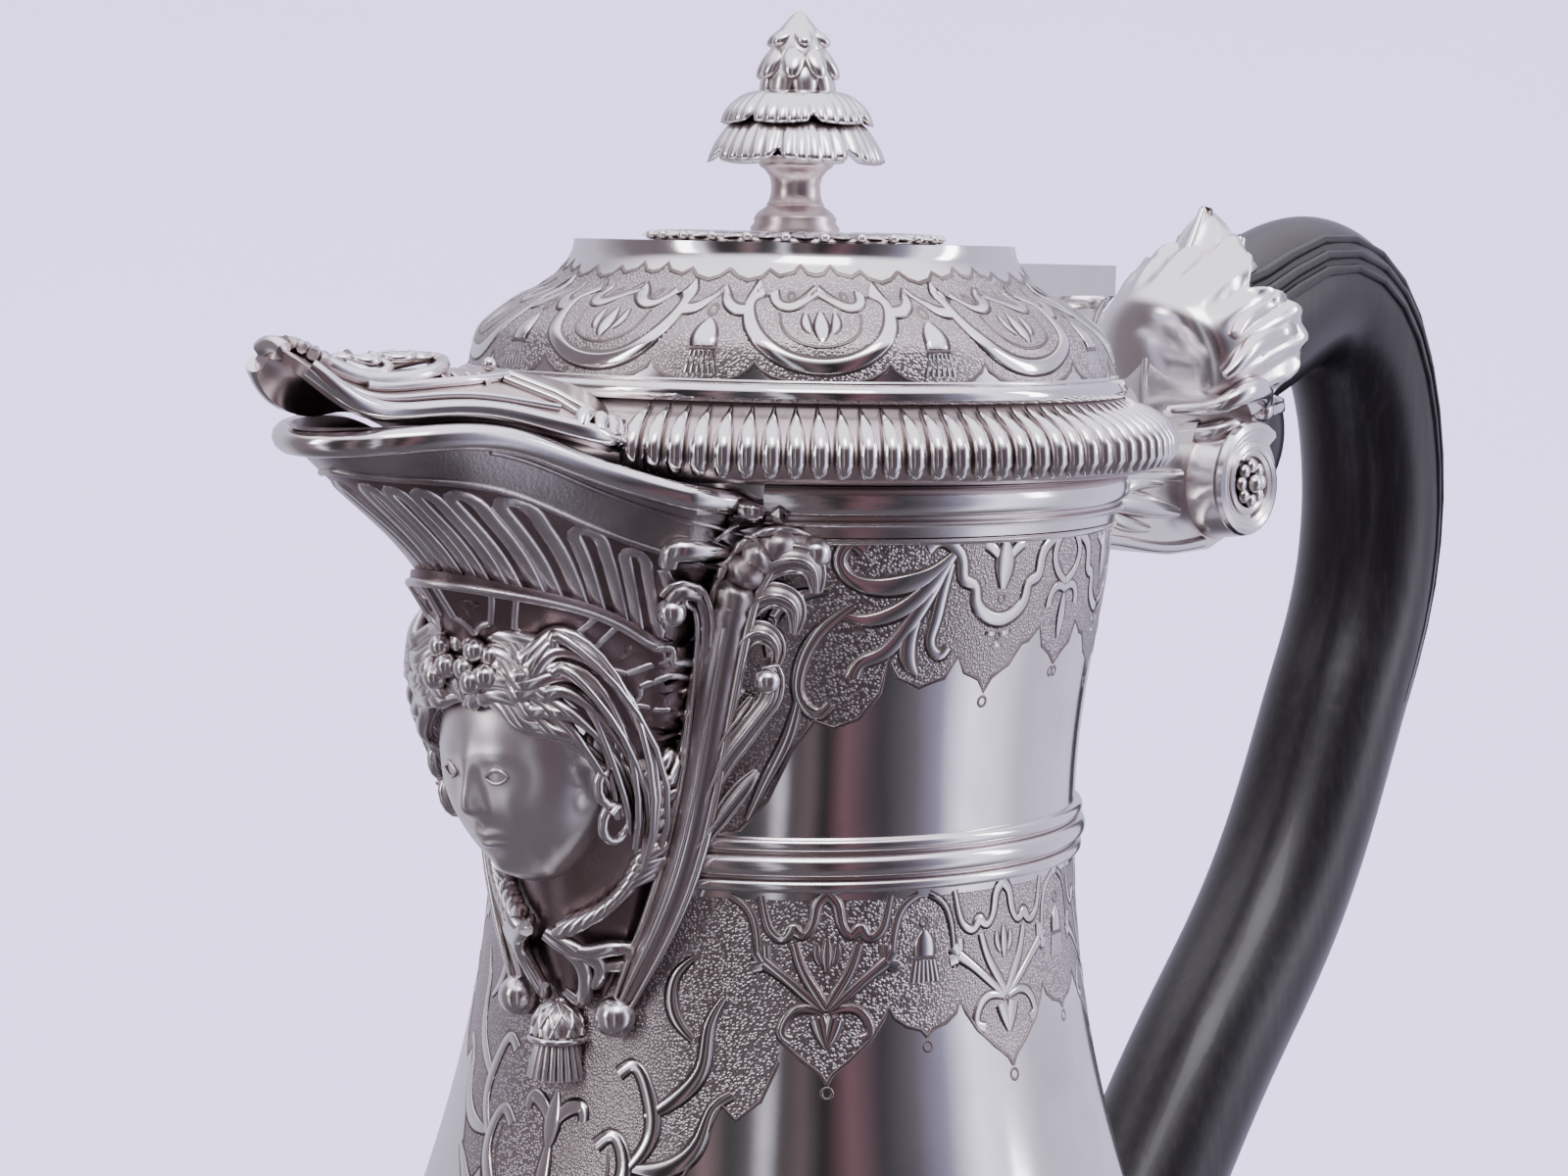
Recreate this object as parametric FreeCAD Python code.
import FreeCAD, Part
import math
import os

os.makedirs("parts", exist_ok=True)
V = FreeCAD.Vector

# A lidded silver coffee pot. The vessel axis is Z, the table is z = 0,
# the spout points along -X and the handle stands on +X. All sizes are in millimetres.

# overall sizes
neck_top_z = 180.6
neck_radius = 28.4
belly_radius = 49.3
belly_z = 60.0
foot_radius = 38.0
foot_height = 20.0
foot_joint_radius = 24.0
wall = 1.2

# neck mouldings, measured down from the neck's upper edge and out from its radius
ring_drop = 31.5
ring_half_height = 2.4
ring_proud = 1.0
rim_height = 5.0
rim_proud = 1.7

# lid, heights above its seat
lid_gap = 0.3
lid_height = 19.1
lid_flat_inset = 9.0
gadroon_proud = 6.3
gadroon_height = 7.0
bead_wire_radius = 0.95
bezel_clearance = 0.8
bezel_wall = 1.1
bezel_depth = 4.2
rosette_radius = 13.5
rosette_height = 0.9

# finial, heights above the rosette
finial_height = 19.5
finial_foot_radius = 4.0
finial_waist_radius = 2.4
skirt_radius = 7.7
skirt_height = 6.9
upper_skirt_radius = 6.6
upper_skirt_height = 9.8
bud_radius = 3.45
bud_height = 12.0
stud_radius = 1.5
nut_radius = 3.4
nut_height = 2.6
washer_radius = 5.0
washer_height = 0.8

# hinge
pivot_out = 10.6
pivot_up = 3.4
knuckle_radius = 3.0
pin_radius = 1.2
pin_running_clearance = 0.05
lug_half_width = 4.6
lug_root_inset = 8.0
ear_gap = 0.3
ear_width = 3.0
lug_end_gap = 0.1
open_gap = 0.4
lug_top_drop = 1.7
lug_sweep_clearance = 0.35

# spout
spout_wall = 1.2
rim_wire_proud = 0.9
rim_wire_height = 1.5
cover_gap = 0.3
strainer_rows = 6
strainer_columns = 5
strainer_hole_radius = 1.2
strainer_pitch = 4.0

# handle and its sockets
handle_out = 65.0
handle_radius = 7.8
socket_wall = 1.7
arm_half_width = 5.5
volute_radius = 6.2
volute_width = 3.6
handle_pin_radius = 1.0
lower_socket_up = 35.0

seat_z = neck_top_z + lid_gap
ring_z = neck_top_z - ring_drop
pivot_x = neck_radius + pivot_out
pivot_z = neck_top_z + pivot_up
arm_top_z = pivot_z - knuckle_radius - open_gap
lug_end_x = pivot_x + knuckle_radius + lug_end_gap
lug_start_x = neck_radius - lug_root_inset
lid_top_z = seat_z + lid_height
rosette_top_z = lid_top_z + rosette_height
Y_AXIS = V(0, 1, 0)
Z_AXIS = V(0, 0, 1)


def save(name, shape):
    """Writes one node."""
    shape = shape.removeSplitter()
    if shape.ShapeType == "Compound" and len(shape.Solids) == 1:
        shape = shape.Solids[0]
    assert shape.isValid() and shape.Volume > 0, name
    shape.exportStep(f"parts/{name}.step")
    print(f"{name}: {shape.Volume:.1f} mm3, {len(shape.Solids)} solid(s)")


def spline(points):
    """A smooth curve through the points."""
    curve = Part.BSplineCurve()
    curve.interpolate([V(*p) for p in points])
    return curve


def xz(points):
    """Lifts (radius, height) pairs into the XZ plane."""
    return [(r, 0, z) for r, z in points]


def line(a, b):
    return Part.LineSegment(V(*a), V(*b)).toShape()


def turned(edges):
    """A solid of revolution about Z from edges that close a face in the XZ plane."""
    face = Part.Face(Part.Wire(Part.__sortEdges__(edges)))
    return face.revolve(V(0, 0, 0), Z_AXIS, 360)


def turned_polygon(points):
    pts = xz(points)
    return turned([line(a, b) for a, b in zip(pts, pts[1:] + pts[:1])])


def offset_profile(points, distance):
    """The same profile moved along its normals, towards the axis for a profile that runs downwards."""
    curve = spline(xz(points))
    moved = []
    for r, z in points:
        tangent = curve.tangent(curve.parameter(V(r, 0, z)))[0]
        moved.append((r + distance * tangent.z, z - distance * tangent.x))
    return moved


def turned_shell(points, thickness):
    """A wall that follows a smooth profile, closed at both ends by straight edges."""
    inner = offset_profile(points, thickness)
    edges = [spline(xz(points)).toShape(), spline(xz(inner)).toShape()]
    for i in (0, -1):
        edges.append(line(xz(points)[i], xz(inner)[i]))
    return turned(edges)


def slab(points, half_width):
    """An XZ outline extruded to both sides of the centre plane."""
    pts = [(x, -half_width, z) for x, z in points]
    edges = [line(a, b) for a, b in zip(pts, pts[1:] + pts[:1])]
    return Part.Face(Part.Wire(edges)).extrude(V(0, 2 * half_width, 0))


def ellipsoid(centre, semi_axes):
    ball = Part.makeSphere(1)
    matrix = FreeCAD.Matrix()
    matrix.scale(V(*semi_axes))
    matrix.move(V(*centre))
    return ball.transformGeometry(matrix)


def drum(x, z, radius, half_width):
    """A cylinder across the pot, centred on its middle plane."""
    return Part.makeCylinder(radius, 2 * half_width, V(x, -half_width, z), Y_AXIS)


def mirrored(shape):
    return shape.mirror(V(0, 0, 0), Y_AXIS)


# ---------------- body ----------------

shoulder_shape = [(0.062, 0.017), (0.164, 0.069), (0.245, 0.138), (0.306, 0.198),
                  (0.533, 0.491), (0.708, 0.750), (0.883, 0.944), (1.0, 1.0)]
base_shape = [(0.375, 0.091), (0.700, 0.368), (0.875, 0.684), (1.0, 1.0)]
neck_shape = [(0.0, 0.0), (-10.7, -0.4), (-19.4, -1.7), (-28.1, -2.4), (-35.0, -2.3)]


def body_profile():
    """The body's outer profile from the neck's edge down to the foot joint."""
    neck = [(neck_radius + dr, neck_top_z + dz) for dz, dr in neck_shape]
    r0, z0 = neck[-1]
    shoulder = [(r0 + s * (belly_radius - r0), z0 + t * (belly_z - z0)) for t, s in shoulder_shape]
    base = []
    for t, s in base_shape:
        radius = belly_radius + s * (foot_joint_radius - belly_radius)
        base.append((radius, belly_z + t * (foot_height - belly_z)))
    return neck + shoulder + base


outer_profile = body_profile()
profile_curve = spline(xz(outer_profile))
profile_samples = [profile_curve.value(profile_curve.LastParameter * i / 400) for i in range(401)]


def body_radius(z):
    """The body's outer radius at a height."""
    for a, b in zip(profile_samples, profile_samples[1:]):
        if b.z <= z <= a.z:
            share = (a.z - z) / (a.z - b.z)
            return a.x + share * (b.x - a.x)
    return profile_samples[0].x if z > profile_samples[0].z else profile_samples[-1].x


def full_of(points):
    """The profile closed to the axis, as one solid."""
    pts = xz(points)
    top, bottom = (0, 0, pts[0][2]), (0, 0, pts[-1][2])
    return turned([spline(pts).toShape(), line(pts[-1], bottom), line(bottom, top), line(top, pts[0])])


body_envelope = full_of(outer_profile)
neck_inner_radius = neck_radius - wall


def body_shell():
    inner = offset_profile(outer_profile, wall)
    inner[0] = (neck_inner_radius, neck_top_z)
    shell = body_envelope.cut(full_of(inner))
    top = ring_z + ring_half_height
    holes = []
    for row in range(strainer_rows):
        for column in range(strainer_columns):
            z = top + row * strainer_pitch
            side = (column - (strainer_columns - 1) / 2) * strainer_pitch
            angle = math.asin(side / body_radius(z))
            away = V(-math.cos(angle), math.sin(angle), 0)
            start = away * (neck_inner_radius - 4 * wall) + V(0, 0, z)
            holes.append(Part.makeCylinder(strainer_hole_radius, 8 * wall, start, away))
    return shell.cut(Part.Compound(holes))


# ---------------- spout ----------------

# height over the neck's edge, reach beyond the neck radius, half angle that the spout covers
spout_stations = [(-46.6, -1.9, 6.0), (-40.6, 0.2, 14.5), (-33.6, 2.2, 21.5), (-25.6, 4.2, 25.5),
                  (-17.6, 7.4, 28.5), (-11.6, 11.1, 31.5), (-6.7, 14.9, 37.0), (-2.6, 19.8, 43.0),
                  (1.1, 24.9, 45.5), (4.9, 29.6, 47.0), (8.4, 34.0, 48.0)]
spout_nose_radius = 4.6
# reach beyond the neck radius and rise over the neck's edge of the spout's upper rim
rim_line = [(-13.4, -2.4), (-6.8, -1.5), (0.6, 0.0), (8.1, 2.3), (16.3, 5.0), (24.2, 5.0),
            (29.6, 4.3), (37.6, 2.9)]


def spout_section(rise, reach, half_angle, offset):
    """One level outline of the spout, from inside the neck round the nose and back."""
    z = neck_top_z + rise
    root = min(body_radius(z), neck_radius)
    nose = neck_radius + reach
    angle = math.radians(half_angle)
    inside = (-(root - 5) * math.cos(angle), (root - 5) * math.sin(angle))
    edge = (-root * math.cos(angle), root * math.sin(angle))
    turn = min(spout_nose_radius, 0.6 * edge[1])
    end = (-(nose - 0.3 * turn), 0.8 * turn)
    middle = ((edge[0] + end[0]) / 2 - 0.02 * turn, (edge[1] + end[1]) / 2 + 0.05 * turn)
    half = [inside, edge, middle, end]
    outline = half + [(-nose, 0)] + [(x, -y) for x, y in reversed(half)]
    moved = []
    last = len(outline) - 1
    for i, (x, y) in enumerate(outline):
        a, b = outline[max(i - 1, 0)], outline[min(i + 1, last)]
        dx, dy = b[0] - a[0], b[1] - a[1]
        length = math.hypot(dx, dy)
        moved.append((x + offset * dy / length, y - offset * dx / length, z))
    return Part.Wire([spline(moved).toShape(), line(moved[-1], moved[0])])


def spout_solid(offset):
    """The spout's full form, moved outwards by an offset. A hollow starts one station up."""
    used = spout_stations if offset >= 0 else spout_stations[1:]
    return Part.makeLoft([spout_section(*s, offset) for s in used], True, False)


def rim_band(low, high, half_width=60):
    """The space between two heights over the spout's rim line."""
    pts = [(-(neck_radius + reach), neck_top_z + rise) for reach, rise in rim_line]
    lower = [(x, -half_width, z + low) for x, z in pts]
    upper = [(x, -half_width, z + high) for x, z in pts]
    edges = [spline(lower).toShape(), line(lower[-1], upper[-1])]
    edges += [spline(upper).toShape(), line(upper[0], lower[0])]
    return Part.Face(Part.Wire(Part.__sortEdges__(edges))).extrude(V(0, 2 * half_width, 0))


deep = 80
spout_outer = spout_solid(0)
spout_inner = spout_solid(-spout_wall)
spout_proud = spout_solid(rim_wire_proud)
above_rim = rim_band(-rim_wire_height, deep)


def spout_shell():
    return spout_outer.cut(body_envelope).cut(above_rim).cut(spout_inner)


def spout_rim_wire():
    return spout_proud.cut(spout_inner).common(rim_band(-rim_wire_height, 0)).cut(body_envelope)


def neck_rim():
    """The moulded ring soldered round the neck's edge, open where the spout stands."""
    low, out = neck_top_z - rim_height, neck_radius + rim_proud
    inner = neck_radius - wall / 2
    points = [(inner, neck_top_z), (out, neck_top_z), (out, neck_top_z - 2.4), (out - 0.3, neck_top_z - 2.6),
              (out - 0.3, neck_top_z - 3.1), (out - 1.1, neck_top_z - 3.9), (out - 1.0, neck_top_z - 4.6),
              (out - 1.5, low), (inner, low)]
    return turned_polygon(points).cut(body_envelope).cut(spout_proud)


def neck_ring():
    """Three beads in one applied ring, open where the spout stands."""
    inner = neck_radius - 5
    base = body_radius(ring_z) + ring_proud / 2
    ring = turned_polygon([(inner, ring_z - ring_half_height), (base, ring_z - ring_half_height),
                           (base, ring_z + ring_half_height), (inner, ring_z + ring_half_height)])
    bead = ring_proud / 2
    for shift, size in ((-1.7, 0.7), (0, 1.1), (1.7, 0.7)):
        ring = ring.fuse(Part.makeTorus(base, bead * size, V(0, 0, ring_z + shift), Z_AXIS))
    return ring.cut(body_envelope).cut(spout_proud)


mask_centre_drop = 22.5
mask_semi_axes = (6.2, 9.4, 12.2)
diadem_radius = 13.6
diadem_centre_drop = 20.2
diadem_proud = 1.3


def spout_point(rise):
    """Nose radius of the spout at a height relative to the neck's edge."""
    for low, high in zip(spout_stations, spout_stations[1:]):
        if low[0] <= rise <= high[0]:
            share = (rise - low[0]) / (high[0] - low[0])
            return neck_radius + low[1] + share * (high[1] - low[1])
    return neck_radius + spout_stations[0][1]


def spout_diadem():
    """The fan-shaped plate behind the mask's head."""
    z = neck_top_z - diadem_centre_drop
    disc = Part.makeCylinder(diadem_radius, 40, V(-neck_radius - 25, 0, z), V(1, 0, 0))
    floor = Part.makeBox(80, 80, 40, V(-90, -40, z - 40 - 1.5))
    return spout_solid(diadem_proud).common(disc).cut(floor).cut(spout_outer).cut(body_envelope)


def spout_mask():
    """The cast head, with the locks tied below its chin."""
    z = neck_top_z - mask_centre_drop
    head = ellipsoid((0, 0, 0), mask_semi_axes)
    head.rotate(V(0, 0, 0), Y_AXIS, -16)
    head.translate(V(-spout_point(-mask_centre_drop) + 0.6, 0, z))
    locks = ellipsoid((-spout_point(-38.0) - 0.1, 0, neck_top_z - 38.0), (2.4, 3.6, 6.5))
    return head.fuse(locks).cut(spout_outer).cut(body_envelope).cut(diadem)


def spout_tassel():
    """The tasselled drop under the mask."""
    top = neck_top_z - 44.4
    x = -(body_radius(top - 3) + 1.0)
    points = [(0, top), (1.5, top - 0.5), (2.3, top - 2.6), (1.7, top - 3.2), (2.4, top - 6.4), (0, top - 6.4)]
    drop = turned_polygon(points)
    drop.translate(V(x, 0, 0))
    return drop.cut(body_envelope).cut(spout_outer).cut(spout_mask())


# half angle from the spout's middle, radius beyond the neck, drop below the neck's edge
bracket_path = [(44.0, 2.0, 4.4), (38.0, 3.4, 4.9), (33.0, 3.2, 6.8), (30.7, 2.2, 10.5), (29.0, 1.6, 15.5),
                (26.6, 1.0, 22.0), (23.6, 0.9, 31.0), (19.6, 0.7, 36.5), (15.5, 0.4, 41.0), (11.8, 0.3, 44.6)]
bracket_wire_radius = 1.7


def bracket_point(half_angle, beyond, drop):
    angle, radius = math.radians(half_angle), neck_radius + beyond
    return V(-radius * math.cos(angle), radius * math.sin(angle), neck_top_z - drop)


def spout_bracket():
    """One cast scroll over the spout's joint: a curled leaf on top, a ball below."""
    path = [bracket_point(*p) for p in bracket_path]
    curve = Part.BSplineCurve()
    curve.interpolate(path)
    start = Part.Circle(path[0], curve.tangent(curve.FirstParameter)[0], bracket_wire_radius)
    bar = Part.Wire(curve.toShape()).makePipeShell([Part.Wire(start.toShape())], True, True)
    leaf = Part.makeSphere(bracket_wire_radius * 1.25, path[0])
    ball = Part.makeSphere(bracket_wire_radius * 1.15, path[-1])
    lobe = Part.makeSphere(bracket_wire_radius * 1.5, bracket_point(37.0, 0.2, 20.0))
    stalk = Part.makeCylinder(bracket_wire_radius * 0.8, (lobe.CenterOfMass - path[5]).Length,
                              path[5], lobe.CenterOfMass - path[5])
    blank = bar.fuse([leaf, ball, lobe, stalk])
    blank = blank.cut(body_envelope).cut(spout_outer).cut(spout_proud.common(rim_band(-rim_wire_height, deep)))
    blank = blank.cut(diadem)
    return max(blank.cut(rim_ring).cut(ring_of_neck).Solids, key=lambda s: s.Volume)


# ---------------- foot ----------------

# share of the way out from the joint to the rim, share of the foot's height
foot_stations = [(0.0, 1.0), (-0.217, 0.80), (-0.174, 0.66), (0.261, 0.46), (0.783, 0.30), (1.0, 0.22)]
foot_edge_height = 4.4
foot_wall = 1.5
foot_joint_inset = 2.0
foot_border_width = 3.0
foot_border_lift = 0.1
foot_rim_overlap = 1.2
foot_collar_radius = 1.1


def foot():
    """The spun foot: a waist under the body that spreads to a flat rim."""
    joint = foot_joint_radius - foot_joint_inset
    rim_radius = foot_radius - foot_border_width
    points = [(joint + share * (rim_radius - joint), foot_height * height) for share, height in foot_stations]
    cone = turned_shell(points, foot_wall)
    edge_top = points[-1][1]
    rim_inner = rim_radius - foot_wall - foot_rim_overlap
    rim = turned_polygon([(rim_inner, 0), (rim_radius, 0), (rim_radius, edge_top), (rim_inner, edge_top)])
    plate = turned_polygon([(0, foot_height - foot_wall), (joint, foot_height - foot_wall),
                            (joint, foot_height), (0, foot_height)])
    return cone.fuse([rim, plate]).cut(body_envelope)


def foot_border():
    """The rounded border round the foot's edge."""
    inner = foot_radius - foot_border_width
    top, low = (inner, 0, foot_edge_height), (inner, 0, foot_border_lift)
    arc = Part.Arc(V(*low), V(foot_radius, 0, foot_edge_height / 2), V(*top)).toShape()
    return turned([arc, line(top, low)])


def foot_collar():
    """The wire that covers the joint of body and foot."""
    wire = Part.makeTorus(foot_joint_radius - 0.6, foot_collar_radius, V(0, 0, foot_height - 0.4), Z_AXIS)
    return wire.cut(body_envelope).cut(foot_solid)


# ---------------- lid ----------------

# collar: distance out from the flat top's edge; dome: radius against the neck's; both with heights under the top
collar_shape = [(0.0, 0.0), (0.3, -1.2), (0.7, -1.9), (1.2, -2.6)]
dome_shape = [(-6.4, -4.0), (-4.5, -4.8), (-3.4, -5.5), (-1.6, -6.9), (-0.8, -7.7), (-0.1, -9.6),
              (0.15, -11.1), (0.2, -12.1)]


def lid_profile():
    collar = [(neck_radius - lid_flat_inset + dr, lid_top_z + dz) for dr, dz in collar_shape]
    dome = [(neck_radius + dr, lid_top_z + dz) for dr, dz in dome_shape]
    return collar, dome


def lid_solid(inset):
    """The lid's raised form down to its border, closed flat below."""
    collar, dome = lid_profile()
    low = seat_z + gadroon_height
    if inset:
        collar = [(r - inset, z - inset) for r, z in collar]
        dome = [(r - inset, z - 0.6 * inset) for r, z in dome[:-1]] + [(dome[-1][0] - inset, low)]
    else:
        dome = dome[:-1] + [(dome[-1][0], low)]
    top = (0, 0, collar[0][1])
    floor = (0, 0, low)
    first, last = xz(collar), xz([collar[-1]] + dome)
    edges = [line(top, first[0]), spline(first).toShape(), spline(last).toShape()]
    edges += [line(last[-1], floor), line(floor, top)]
    return turned(edges)


lid_form = lid_solid(0)
bezel_radius = neck_inner_radius - bezel_clearance


def lid_dome():
    bore = Part.makeCylinder(stud_radius, 10, V(0, 0, lid_top_z - 5))
    return lid_form.cut(lid_solid(wall)).cut(bore)


def gadroon_blank():
    out = neck_radius + gadroon_proud
    low, high = seat_z, seat_z + gadroon_height
    under, shoulder = (out - 2.7, 0, low), (out - 3.8, 0, seat_z + 5.4)
    nose = Part.Arc(V(*under), V(out, 0, seat_z + 2.3), V(*shoulder))
    pts = [shoulder] + xz([(neck_radius + 0.2, high), (bezel_radius, high), (bezel_radius, low)]) + [under]
    return turned([nose.toShape()] + [line(a, b) for a, b in zip(pts, pts[1:])])


def lid_bead_ring():
    centre = neck_radius + 0.2 + 0.15
    wire = Part.makeTorus(centre, bead_wire_radius, V(0, 0, seat_z + 6.9), Z_AXIS)
    return wire.cut(lid_form).cut(gadroon_blank())


def lid_bezel():
    inner = bezel_radius - bezel_wall
    return turned_polygon([(inner, seat_z - bezel_depth), (bezel_radius, seat_z - bezel_depth),
                           (bezel_radius, seat_z + gadroon_height), (inner, seat_z + gadroon_height)])


# half width of the cover and its under and upper heights over the spout's rim line, by reach beyond the neck
cover_plan = [(-3.0, 8.0), (4.4, 9.8), (8.0, 12.2), (16.3, 8.6), (24.2, 5.0), (28.4, 4.4), (31.2, 2.6)]
cover_top_line = [(-3.0, 6.6), (4.4, 8.0), (10.0, 8.8), (17.0, 9.6), (24.2, 9.0), (29.0, 10.4), (31.6, 10.9)]


def spout_cover():
    """The flap on the lid that covers the spout's mouth."""
    half = [(-(neck_radius + reach), w, 0) for reach, w in cover_plan]
    tip = (-(neck_radius + 32.2), 0, 0)
    outline = half + [tip] + [(x, -y, 0) for x, y, z in reversed(half)]
    face = Part.Face(Part.Wire([spline(outline).toShape(), line(outline[-1], outline[0])]))
    prism = face.extrude(V(0, 0, neck_top_z * 2))
    upper = [(-(neck_radius + reach), neck_top_z + rise) for reach, rise in cover_top_line]
    low = neck_top_z - 5
    pts = [(x, -40, z) for x, z in upper]
    ends = [(pts[-1][0] - 5, -40, pts[-1][2]), (pts[-1][0] - 5, -40, low), (pts[0][0], -40, low)]
    edges = [spline(pts).toShape(), line(pts[-1], ends[0]), line(ends[0], ends[1])]
    edges += [line(ends[1], ends[2]), line(ends[2], pts[0])]
    under_top = Part.Face(Part.Wire(edges)).extrude(V(0, 80, 0))
    blank = prism.common(under_top).common(rim_band(cover_gap, deep))
    mouth = Part.makeCylinder(3.0, 14, V(-(neck_radius + 34), 0, neck_top_z + 4.6), V(1, 0, 0))
    tip_start = -(neck_radius + 22)
    blank = blank.cut(mouth.cut(Part.makeBox(40, 20, 20, V(tip_start, -10, neck_top_z - 5))))
    blank = blank.cut(lid_form).cut(lid_bead_ring()).cut(Part.makeCylinder(neck_radius + cover_gap, seat_z))
    return blank.cut(turned_polygon([(0, 0), (bezel_radius, 0), (bezel_radius, seat_z * 2), (0, seat_z * 2)]))


def cover_ornament():
    """The cast scrollwork on top of the spout's cover."""
    blank = ellipsoid((-(neck_radius + 15.5), 0, neck_top_z + 8.4), (8.6, 4.4, 2.0))
    return max(blank.cut(cover_solid).Solids, key=lambda s: s.Volume)


def lid_rosette():
    disc = Part.makeCylinder(rosette_radius, rosette_height, V(0, 0, lid_top_z))
    return disc.cut(Part.makeCylinder(stud_radius, 10, V(0, 0, lid_top_z - 5)))


def bored(shape, top):
    return shape.cut(Part.makeCylinder(stud_radius, top, V(0, 0, 0)))


def finial_pieces():
    z = rosette_top_z
    neck_of_stem = skirt_height - 0.6
    stem = turned_polygon([(0, z), (finial_foot_radius, z), (finial_foot_radius, z + 1.0),
                           (finial_waist_radius + 0.5, z + 2.2), (finial_waist_radius, z + 4.2),
                           (finial_waist_radius + 1.1, z + neck_of_stem), (0, z + neck_of_stem)])
    lower = turned_polygon([(0, z + neck_of_stem), (finial_waist_radius + 1.1, z + neck_of_stem),
                            (skirt_radius, z + skirt_height), (skirt_radius - 0.2, z + skirt_height + 0.8),
                            (upper_skirt_radius - 1.0, z + upper_skirt_height),
                            (0, z + upper_skirt_height)])
    upper = turned_polygon([(0, z + upper_skirt_height), (upper_skirt_radius, z + upper_skirt_height),
                            (upper_skirt_radius - 1.0, z + bud_height), (0, z + bud_height)])
    bud_length = finial_height - bud_height
    bud = ellipsoid((0, 0, z + bud_height + 0.25 * bud_length), (bud_radius, bud_radius, 0.75 * bud_length))
    bud = bud.cut(Part.makeBox(20, 20, 20, V(-10, -10, z + bud_height - 20)))
    stud_top = z + bud_height + 2.5
    inside = lid_top_z - wall
    stud_low = inside - washer_height - nut_height - 0.8
    stud = Part.makeCylinder(stud_radius, stud_top - stud_low, V(0, 0, stud_low))
    washer = bored(Part.makeCylinder(washer_radius, washer_height, V(0, 0, inside - washer_height)), stud_top)
    hexagon = [V(nut_radius * math.cos(math.radians(60 * i)), nut_radius * math.sin(math.radians(60 * i)),
                 inside - washer_height - nut_height) for i in range(7)]
    nut = bored(Part.Face(Part.makePolygon(hexagon)).extrude(V(0, 0, nut_height)), stud_top)
    return {"finial_stem": bored(stem, stud_top), "finial_petals_lower": bored(lower, stud_top),
            "finial_petals_upper": bored(upper, stud_top), "finial_bud": bored(bud, stud_top),
            "finial_stud": stud, "finial_washer": washer, "finial_nut": nut}


# ---------------- hinge ----------------

def lid_hinge_lug():
    """The block behind the dome that carries the lid's knuckle; its end face is the stop."""
    top = lid_top_z - lug_top_drop
    foot_x = pivot_x - knuckle_radius
    border = neck_radius + gadroon_proud
    outline = [(lug_start_x, top), (lug_end_x, top), (lug_end_x, pivot_z), (foot_x, pivot_z),
               (foot_x, pivot_z + 2.4), (border - 1.0, pivot_z + 4.0), (lug_start_x, pivot_z + 4.0)]
    block = slab(outline, lug_half_width)
    waist_z = (top + pivot_z) / 2 + 0.8
    for side in (-1, 1):
        cove = Part.makeCylinder(4.2, 40, V(neck_radius - 12, side * (lug_half_width + 2.4), waist_z), V(1, 0, 0))
        block = block.cut(cove)
    block = block.fuse(drum(pivot_x, pivot_z, knuckle_radius, lug_half_width))
    block = block.cut(drum(pivot_x, pivot_z, pin_radius + pin_running_clearance, 20))
    return block.cut(lid_form).cut(gadroon_blank()).cut(lid_bead_ring())


def hinge_ears():
    """The two fixed knuckles that stand on the arm."""
    near = lug_half_width + ear_gap
    ears = []
    for side in (-1, 1):
        low_y = near if side > 0 else -near - ear_width
        post = Part.makeBox(2 * knuckle_radius, ear_width, pivot_z - arm_top_z,
                            V(pivot_x - knuckle_radius, low_y, arm_top_z))
        knuckle = Part.makeCylinder(knuckle_radius, ear_width, V(pivot_x, low_y, pivot_z), Y_AXIS)
        ears.append(post.fuse(knuckle))
    plate = Part.makeBox(2 * knuckle_radius, 2 * (near + ear_width), 1.6,
                         V(pivot_x - knuckle_radius, -near - ear_width, arm_top_z - 1.6))
    return plate.fuse(ears).cut(drum(pivot_x, pivot_z, pin_radius, 20))


def hinge_pin():
    half = lug_half_width + ear_gap + ear_width + 0.5
    return drum(pivot_x, pivot_z, pin_radius, half)


# ---------------- handle ----------------

# reach beyond the neck, height over its edge, direction in degrees, half depth and half width of the section
# as shares of the handle's radius
upper_line = [(29.6, 7.4, 14, 1.02, 0.96), (37.6, 10.4, 18, 1.10, 1.0), (47.1, 13.3, 12, 1.06, 1.0)]
# share of handle_out, share of the way down from the bow's top to its lower end, direction in degrees
bow_line = [(0.882, 0.0, -8), (0.985, 0.074, -52), (1.001, 0.206, -84), (0.938, 0.336, -101),
            (0.838, 0.438, -114), (0.731, 0.540, -117), (0.613, 0.638, -122), (0.466, 0.732, -129),
            (0.320, 0.818, -131), (0.188, 0.905, -127), (0.118, 0.952, -126), (0.045, 1.0, -124)]
bow_top = 14.8
bow_width_share = 0.97


def handle_section(x, z, direction, half_depth, half_width):
    """An oval square to the handle's line."""
    angle = math.radians(direction)
    along = V(math.cos(angle), 0, math.sin(angle))
    across = V(-math.sin(angle), 0, math.cos(angle))
    major, minor, axis = half_depth, half_width, across
    if half_width > half_depth:
        major, minor, axis = half_width, half_depth, Y_AXIS
    oval = Part.Ellipse()
    oval.MajorRadius = major
    oval.MinorRadius = minor
    edge = oval.toShape()
    edge.Placement = FreeCAD.Placement(V(x, 0, z), FreeCAD.Rotation(axis, along.cross(axis), along, "XYZ"))
    return Part.Wire(edge)


def handle_stations():
    top_z = neck_top_z + bow_top
    lower_z = belly_z + lower_socket_up
    stations = []
    for reach, up, direction, deep_share, wide_share in upper_line:
        stations.append((neck_radius + reach, neck_top_z + up, direction,
                         handle_radius * deep_share, handle_radius * wide_share))
    for out, share, direction in bow_line:
        x = neck_radius + share * (belly_radius - neck_radius) + out * handle_out
        z = top_z + share * (lower_z - top_z)
        stations.append((x, z, direction, handle_radius, handle_radius * bow_width_share))
    return stations


stations = handle_stations()


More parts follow.
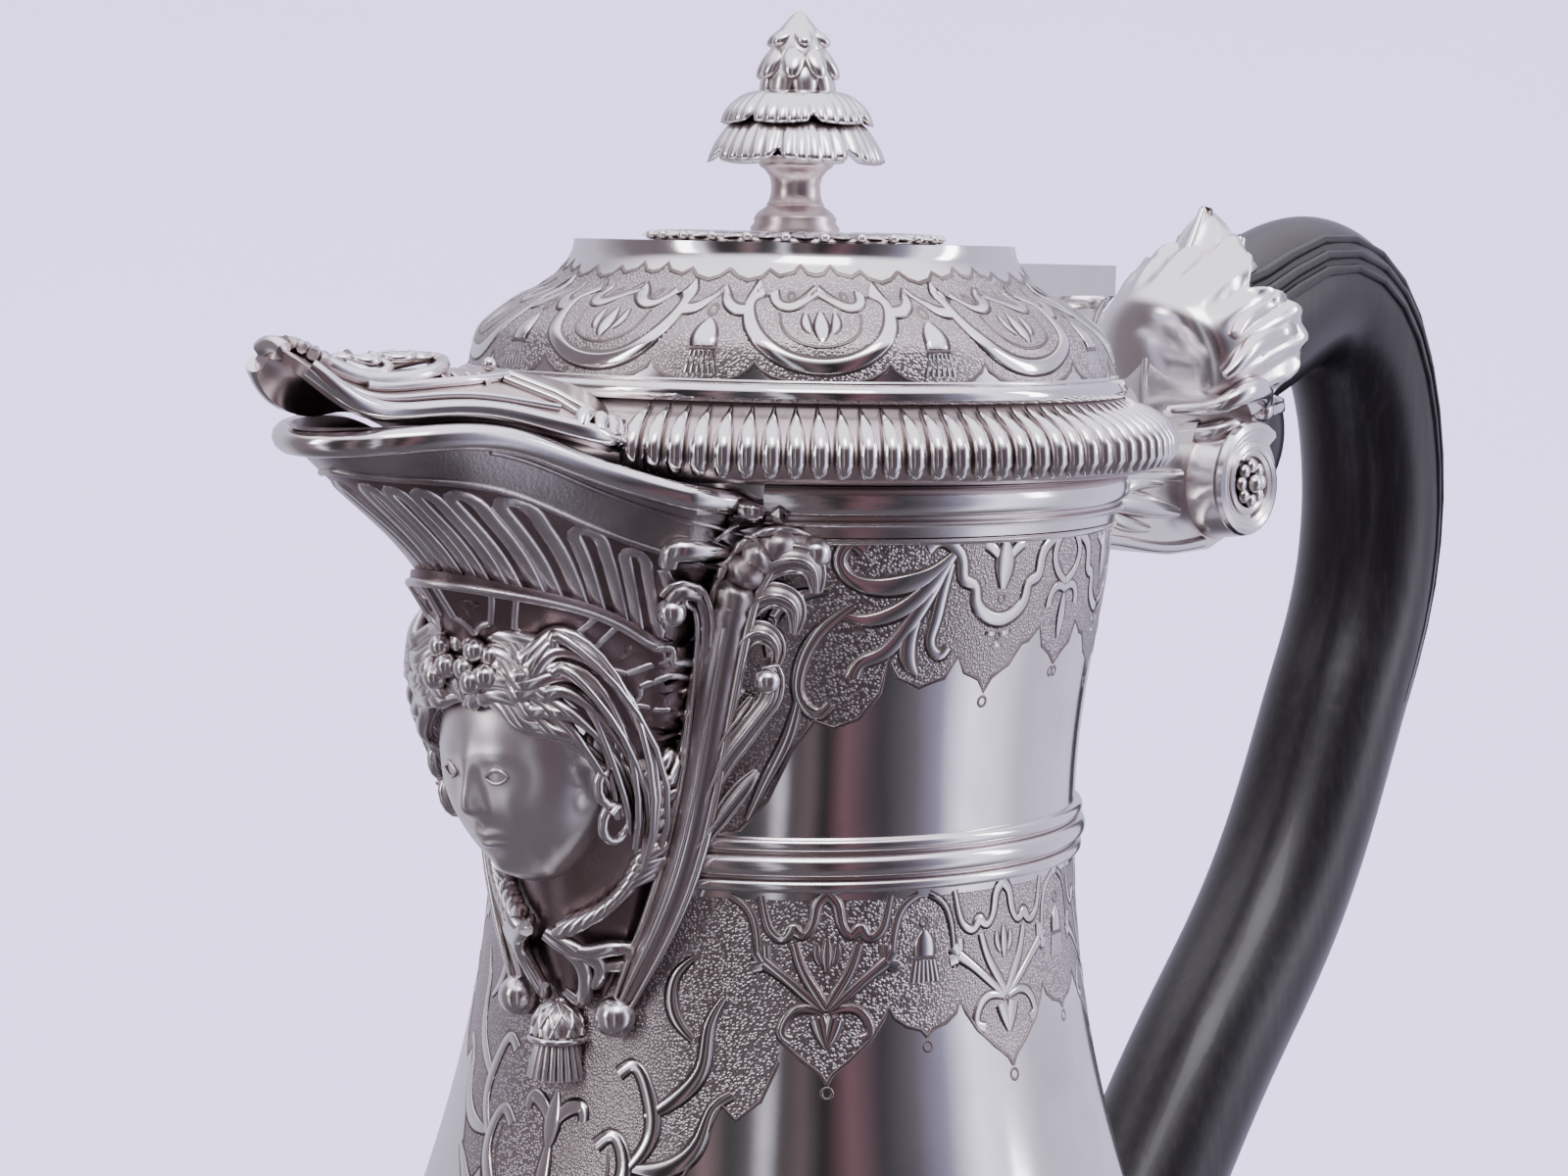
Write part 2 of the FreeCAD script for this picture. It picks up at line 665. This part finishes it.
def tube(items, grow):
    return Part.makeLoft([handle_section(x, z, d, a + grow, b + grow) for x, z, d, a, b in items], True, False)


def handle_blank():
    """The turned and carved wood, with a heel that fills the upper volutes."""
    heel = ellipsoid((neck_radius + 39.2, 0, neck_top_z + 0.6), (7.6, handle_radius * 0.8, 8.6))
    return tube(stations, 0).fuse(heel)


handle_wood = handle_blank()
upper_pin = (neck_radius + 33.5, neck_top_z + 8.9)
lower_pin = (stations[-2][0], stations[-2][1])


def handle():
    wood = handle_wood
    for x, z in (upper_pin, lower_pin):
        wood = wood.cut(drum(x, z, handle_pin_radius, 20))
    return wood


def lug_sweep():
    """The room over the arm that the lid's block needs as the lid opens."""
    reach = math.hypot(lug_end_x - pivot_x, lid_top_z - lug_top_drop - pivot_z) + lug_sweep_clearance
    half = lug_half_width + ear_gap
    over_arm = Part.makeBox(4 * reach, 2 * half, 2 * reach, V(pivot_x - 2 * reach, -half, arm_top_z))
    open_top = pivot_z + pivot_x - lug_start_x + 2 * lug_sweep_clearance
    stood_up = Part.makeBox(lid_top_z - lug_top_drop - pivot_z + lug_sweep_clearance, 2 * half,
                            open_top - arm_top_z, V(pivot_x, -half, arm_top_z))
    return drum(pivot_x, pivot_z, reach, half).common(over_arm).fuse(stood_up)


def upper_socket():
    """The cup that holds the handle's upper end, with a pointed leaf above it."""
    x, z, direction, half_depth, half_width = stations[0]
    nose = (x - 3.6, z - 0.8, direction, half_depth * 0.62, half_width * 0.62)
    root = (x - 1.6, z - 0.4, direction, half_depth * 0.98, half_width * 0.98)
    cup = tube([nose, root, stations[0], stations[1]], socket_wall)
    tip = [(neck_radius + 27.6, neck_top_z + 13.6), (neck_radius + 32.4, neck_top_z + 17.4),
           (neck_radius + 35.3, neck_top_z + 24.4), (neck_radius + 38.2, neck_top_z + 18.6),
           (neck_radius + 39.4, neck_top_z + 14.0)]
    leaf = slab(tip, 3.4)
    cup = cup.fuse(leaf).cut(handle_wood).cut(lug_sweep())
    cup = cup.cut(drum(*upper_pin, handle_pin_radius, 20))
    return max(cup.Solids, key=lambda s: s.Volume)


def upper_arm():
    """The bracket from the neck to the upper socket."""
    under = [(neck_radius - 3, -9.4), (neck_radius + 13.6, -9.6), (neck_radius + 22.6, -10.8),
             (neck_radius + 29.6, -10.6), (neck_radius + 36.1, -8.4), (neck_radius + 39.1, -3.6)]
    pts = [(x, neck_top_z + dz) for x, dz in under]
    outline = [(neck_radius - 3, arm_top_z)] + pts + [(neck_radius + 34.0, neck_top_z + 3.0),
                                                     (neck_radius + 27.5, neck_top_z + 3.0),
                                                     (neck_radius + 26.0, arm_top_z)]
    arm = slab(outline, arm_half_width)
    arm = arm.cut(body_envelope).cut(rim_ring).cut(handle_wood).cut(lug_sweep())
    arm = arm.cut(upper_cup).cut(ears)
    return max(arm.Solids, key=lambda s: s.Volume)


def upper_volute():
    """One rolled scroll with its rosette, on the side of the arm."""
    x, z = neck_radius + 31.1, neck_top_z - 3.8
    disc = Part.makeCylinder(volute_radius, volute_width, V(x, arm_half_width, z), Y_AXIS)
    eye = Part.makeSphere(2.0, V(x, arm_half_width + volute_width, z))
    return disc.fuse(eye).cut(handle_wood).cut(upper_cup)


def lower_socket():
    """The cup that holds the handle's lower end, and its foot on the belly."""
    x, z, direction, half_depth, half_width = stations[-1]
    angle = math.radians(direction)
    before = stations[-2]

    def further(distance, size):
        return (x + distance * math.cos(angle), z + distance * math.sin(angle), direction,
                half_depth * size, half_width * size)

    cup = tube([before, stations[-1], further(1.8, 0.98), further(5.0, 0.72), further(9.0, 0.5),
                further(13.0, 0.5), further(20.0, 0.7)], socket_wall)
    foot_z = z - 11.5
    foot_plate = ellipsoid((body_radius(foot_z) - 0.5, 0, foot_z), (3.4, 7.5, 9.0))
    cup = cup.fuse(foot_plate).cut(handle_wood).cut(body_envelope)
    cup = cup.cut(drum(*lower_pin, handle_pin_radius, 20))
    return max(cup.Solids, key=lambda s: s.Volume)


def handle_pin(place, station):
    return drum(*place, handle_pin_radius, station[4] + socket_wall + 0.2)


# ---------------- assembly ----------------

rim_ring = neck_rim()
ring_of_neck = neck_ring()
foot_solid = foot()
ears = hinge_ears()
cover_solid = spout_cover()
upper_cup = upper_socket()
diadem = spout_diadem()
bracket = spout_bracket()
volute = upper_volute()

nodes = {
    "body_shell": body_shell(), "neck_rim": rim_ring, "neck_ring": ring_of_neck,
    "spout_shell": spout_shell(), "spout_rim_wire": spout_rim_wire(), "spout_diadem": diadem,
    "spout_mask": spout_mask(), "spout_tassel": spout_tassel(),
    "spout_bracket_left": mirrored(bracket), "spout_bracket_right": bracket,
    "foot": foot_solid, "foot_border": foot_border(), "foot_collar": foot_collar(),
    "lid_dome": lid_dome(), "lid_gadroon_border": gadroon_blank().cut(cover_solid),
    "lid_bead_ring": lid_bead_ring(), "lid_bezel": lid_bezel(), "lid_rosette": lid_rosette(),
    "spout_cover": cover_solid, "spout_cover_ornament": cover_ornament(),
    "lid_hinge_lug": lid_hinge_lug(), "hinge_ears": ears, "hinge_pin": hinge_pin(),
    "handle": handle(), "upper_socket": upper_cup, "upper_arm": upper_arm(),
    "upper_volute_left": mirrored(volute), "upper_volute_right": volute, "lower_socket": lower_socket(),
    "upper_handle_pin": handle_pin(upper_pin, stations[0]),
    "lower_handle_pin": handle_pin(lower_pin, stations[-2]),
}
nodes.update(finial_pieces())

for node, solid in nodes.items():
    save(node, solid)
print(len(nodes), "nodes")
